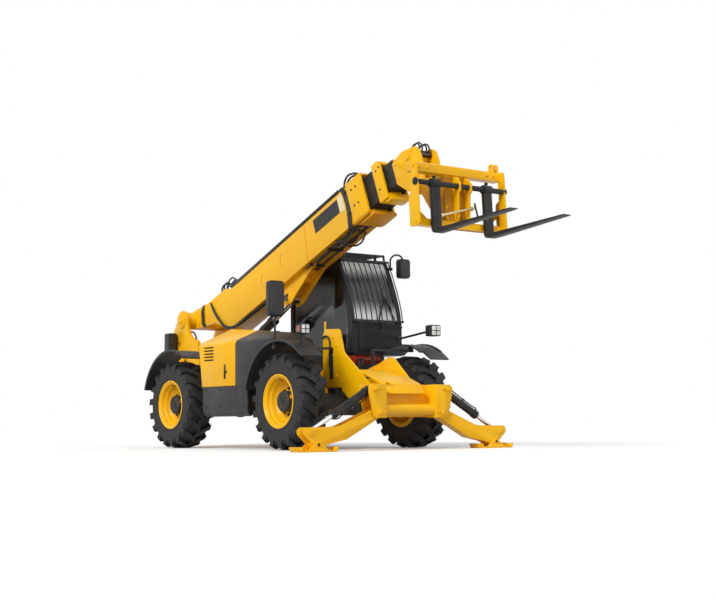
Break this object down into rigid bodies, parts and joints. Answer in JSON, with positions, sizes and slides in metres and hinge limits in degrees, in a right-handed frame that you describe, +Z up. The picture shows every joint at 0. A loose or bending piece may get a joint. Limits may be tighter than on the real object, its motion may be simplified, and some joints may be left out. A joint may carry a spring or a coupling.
{
  "type": "telehandler",
  "caption": "Wheeled telehandler with a three-stage telescopic boom, pallet fork carriage, side cab, hinged engine hood and front stabilisers.",
  "frame": {"origin": "on the ground, midway between the tow jaw and the fork tips at rest, in the middle of the machine's width", "axes": "+X forward, +Y to the machine's left, +Z up"},
  "size_m": [7.701, 3.32, 3.6832],
  "materials": {
    "yellow_steel": "gloss",
    "black_steel": "satin",
    "cast": "matte",
    "black_plastic": "matte",
    "yellow_panel": "gloss",
    "red_block": "satin",
    "pane": "clear",
    "tyre": "matte",
    "rod_chrome": "polished",
    "seat_cover": "matte",
    "lamp": "gloss"
  },
  "bodies": {
    "chassis": {"chassis_frame": "yellow_steel", "counterweight": "yellow_steel", "nose_plates": "yellow_steel", "front_frame": "yellow_steel", "valve_block": "red_block", "front_axle": "cast", "rear_axle": "cast", "engine": "cast", "engine_tub": "black_plastic", "front_cowl": "black_plastic", "fuel_tank": "black_plastic", "cab_floor": "black_steel", "cab_front": "black_steel", "cab_right_wall": "black_steel", "cab_rear_wall": "black_steel", "cab_left_frame": "black_steel", "cab_roof": "black_steel", "cab_panes": "pane", "cab_guards": "black_steel", "seat": "seat_cover", "steering_console": "black_plastic", "mudguards": "black_plastic", "head_lamps": "lamp", "mirrors": "black_plastic", "rear_lamps": "black_plastic"},
    "boom_outer": {"boom_outer": "yellow_steel"},
    "boom_mid": {"boom_mid": "black_steel"},
    "boom_inner": {"boom_inner": "yellow_steel"},
    "carriage": {"carriage": "yellow_steel", "fork_shaft": "black_steel", "fork_left": "black_steel", "fork_right": "black_steel"},
    "lift_barrel": {"lift_barrel": "black_steel"},
    "lift_rod": {"lift_rod": "rod_chrome"},
    "stabiliser_left": {"stabiliser_left": "yellow_steel"},
    "stabiliser_right": {"stabiliser_right": "yellow_steel"},
    "stab_barrel_left": {"stab_barrel_left": "black_steel"},
    "stab_barrel_right": {"stab_barrel_right": "black_steel"},
    "stab_rod_left": {"stab_rod_left": "rod_chrome"},
    "stab_rod_right": {"stab_rod_right": "rod_chrome"},
    "door": {"door": "black_steel", "door_pane": "pane"},
    "hood": {"hood": "yellow_panel"},
    "knuckle_fl": {"knuckle_fl": "cast"},
    "wheel_fl": {"hub_fl": "cast", "rim_fl": "yellow_steel", "tyre_fl": "tyre"},
    "knuckle_fr": {"knuckle_fr": "cast"},
    "wheel_fr": {"hub_fr": "cast", "rim_fr": "yellow_steel", "tyre_fr": "tyre"},
    "knuckle_rl": {"knuckle_rl": "cast"},
    "wheel_rl": {"hub_rl": "cast", "rim_rl": "yellow_steel", "tyre_rl": "tyre"},
    "knuckle_rr": {"knuckle_rr": "cast"},
    "wheel_rr": {"hub_rr": "cast", "rim_rr": "yellow_steel", "tyre_rr": "tyre"}
  },
  "joints": [
    {"name": "boom_lift", "type": "hinge", "parent": "chassis", "child": "boom_outer", "pos_m": [-3.45066, 0, 1.89], "axis": [0, -1, 0], "range_deg": [-24, 43]},
    {"name": "boom_extend", "type": "slide", "parent": "boom_outer", "child": "boom_mid", "axis": [0.9336, 0, 0.3584], "range_m": [-0.194, 2.8]},
    {"name": "boom_extend_inner", "type": "slide", "parent": "boom_mid", "child": "boom_inner", "axis": [0.9336, 0, 0.3584], "range_m": [-0.194, 2.8]},
    {"name": "carriage_tilt", "type": "hinge", "parent": "boom_inner", "child": "carriage", "pos_m": [1.94934, 0, 3.16], "axis": [0, 1, 0], "range_deg": [-40, 75]},
    {"name": "lift_ram_swing", "type": "hinge", "parent": "chassis", "child": "lift_barrel", "pos_m": [-3.25066, 0, 0.9], "axis": [0, -1, 0], "range_deg": [-21, 37]},
    {"name": "lift_ram_stroke", "type": "slide", "parent": "lift_barrel", "child": "lift_rod", "axis": [0.8926, 0, 0.4509], "range_m": [-0.38, 0.68]},
    {"name": "stabiliser_left", "type": "hinge", "parent": "chassis", "child": "stabiliser_left", "pos_m": [1.45934, 0.49, 0.45], "axis": [1, 0, 0], "range_deg": [0, 55]},
    {"name": "stab_ram_swing_left", "type": "hinge", "parent": "chassis", "child": "stab_barrel_left", "pos_m": [1.45934, 0.575, 0.735], "axis": [1, 0, 0], "range_deg": [0, 60.5]},
    {"name": "stab_ram_stroke_left", "type": "slide", "parent": "stab_barrel_left", "child": "stab_rod_left", "axis": [0, 0.8694, -0.4941], "range_m": [-0.265, 0]},
    {"name": "stabiliser_right", "type": "hinge", "parent": "chassis", "child": "stabiliser_right", "pos_m": [1.45934, -0.49, 0.45], "axis": [-1, 0, 0], "range_deg": [0, 55]},
    {"name": "stab_ram_swing_right", "type": "hinge", "parent": "chassis", "child": "stab_barrel_right", "pos_m": [1.45934, -0.575, 0.735], "axis": [-1, 0, 0], "range_deg": [0, 60.5]},
    {"name": "stab_ram_stroke_right", "type": "slide", "parent": "stab_barrel_right", "child": "stab_rod_right", "axis": [0, -0.8694, -0.4941], "range_m": [-0.265, 0]},
    {"name": "cab_door", "type": "hinge", "parent": "chassis", "child": "door", "pos_m": [-1.42566, 1.168, 1.6], "axis": [0, 0, 1], "range_deg": [0, 105]},
    {"name": "hood_lid", "type": "hinge", "parent": "chassis", "child": "hood", "pos_m": [-1.15066, -0.425, 1.552], "axis": [-1, 0, 0], "range_deg": [0, 55]},
    {"name": "steer_fl", "type": "hinge", "parent": "chassis", "child": "knuckle_fl", "pos_m": [0.34934, 0.74, 0.607], "axis": [0, 0, 1], "range_deg": [-32, 32]},
    {"name": "steer_fr", "type": "hinge", "parent": "chassis", "child": "knuckle_fr", "pos_m": [0.34934, -0.74, 0.607], "axis": [0, 0, 1], "range_deg": [-32, 32]},
    {"name": "steer_rl", "type": "hinge", "parent": "chassis", "child": "knuckle_rl", "pos_m": [-2.40066, 0.74, 0.607], "axis": [0, 0, 1], "range_deg": [-32, 32]},
    {"name": "steer_rr", "type": "hinge", "parent": "chassis", "child": "knuckle_rr", "pos_m": [-2.40066, -0.74, 0.607], "axis": [0, 0, 1], "range_deg": [-32, 32]},
    {"name": "spin_fl", "type": "hinge", "parent": "knuckle_fl", "child": "wheel_fl", "pos_m": [0.34934, 0.975, 0.607], "axis": [0, 1, 0], "continuous": true},
    {"name": "spin_fr", "type": "hinge", "parent": "knuckle_fr", "child": "wheel_fr", "pos_m": [0.34934, -0.975, 0.607], "axis": [0, 1, 0], "continuous": true},
    {"name": "spin_rl", "type": "hinge", "parent": "knuckle_rl", "child": "wheel_rl", "pos_m": [-2.40066, 0.975, 0.607], "axis": [0, 1, 0], "continuous": true},
    {"name": "spin_rr", "type": "hinge", "parent": "knuckle_rr", "child": "wheel_rr", "pos_m": [-2.40066, -0.975, 0.607], "axis": [0, 1, 0], "continuous": true}
  ],
  "couplings": [
    {"joint": "boom_extend_inner", "follows": "boom_extend", "ratio": 1},
    {"joint": "lift_ram_swing", "follows": "boom_lift", "ratio": 0.85},
    {"joint": "lift_ram_stroke", "follows": "boom_lift", "m_per_rad": 0.9},
    {"joint": "steer_fr", "follows": "steer_fl", "ratio": 1},
    {"joint": "steer_rr", "follows": "steer_rl", "ratio": 1},
    {"joint": "stab_ram_swing_left", "follows": "stabiliser_left", "ratio": 1.09},
    {"joint": "stab_ram_stroke_left", "follows": "stabiliser_left", "m_per_rad": -0.274},
    {"joint": "stab_ram_swing_right", "follows": "stabiliser_right", "ratio": 1.09},
    {"joint": "stab_ram_stroke_right", "follows": "stabiliser_right", "m_per_rad": -0.274}
  ]
}
